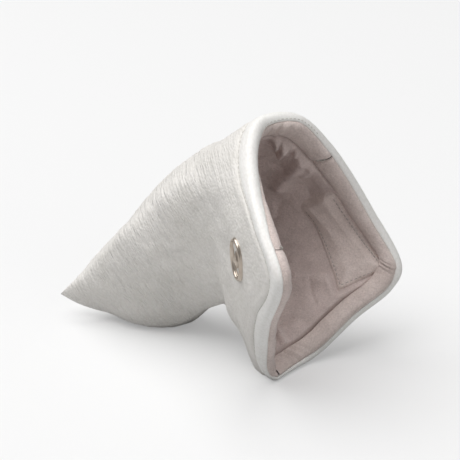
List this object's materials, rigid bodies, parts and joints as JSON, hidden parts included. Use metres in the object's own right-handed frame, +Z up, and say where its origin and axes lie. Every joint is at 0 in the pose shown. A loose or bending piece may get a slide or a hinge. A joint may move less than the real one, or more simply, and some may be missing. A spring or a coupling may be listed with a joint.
{
  "type": "putter head cover",
  "caption": "Soft leather cover for a blade putter head, standing open: padded boot-shaped pouch with a plush lining, a rolled mouth edge, a hinged front flap, magnets and a plain metal badge.",
  "frame": {"origin": "middle of the bounding box on the floor", "axes": "+Z up; +X along the length, from the toe of the pouch to the mouth; -Y towards the side with the front flap"},
  "size_m": [0.1669, 0.1432, 0.1192],
  "materials": {
    "leather": "white pebbled leather, satin",
    "binding": "white leather edge, smoother",
    "foam": "soft padding",
    "plush": "short greige pile",
    "thread": "sewing thread",
    "magnet": "plated magnet",
    "badge_metal": "champagne plating, glossy"
  },
  "bodies": {
    "pouch": {"outer_leather_pouch": "leather", "foam_padding_pouch": "foam", "lining_pouch": "plush", "rim_binding_pouch": "binding", "topstitch_thread_pouch": "thread", "facing_top": "plush", "facing_back": "plush", "join_thread_back": "thread", "magnet_pocket_back": "plush", "magnet_back": "magnet", "pocket_thread_back": "thread"},
    "front_flap": {"outer_leather_flap": "leather", "foam_padding_flap": "foam", "lining_flap": "plush", "rim_binding_flap": "binding", "topstitch_thread_flap": "thread", "facing_flap_upper": "plush", "facing_flap_lower": "plush", "join_thread_flap": "thread", "magnet_pocket_flap": "plush", "magnet_flap": "magnet", "pocket_thread_flap": "thread", "badge_ring": "badge_metal", "badge_diamond": "badge_metal", "badge_backing_plate": "badge_metal", "badge_push_nut_bottom": "badge_metal", "badge_push_nut_middle": "badge_metal", "badge_push_nut_top": "badge_metal"}
  },
  "joints": [
    {"name": "flap_hinge", "type": "hinge", "parent": "pouch", "child": "front_flap", "pos_m": [0.025, -0.018, 0], "axis": [-0.0562, 0.2647, 0.9627], "range_deg": [0, 105]}
  ]
}
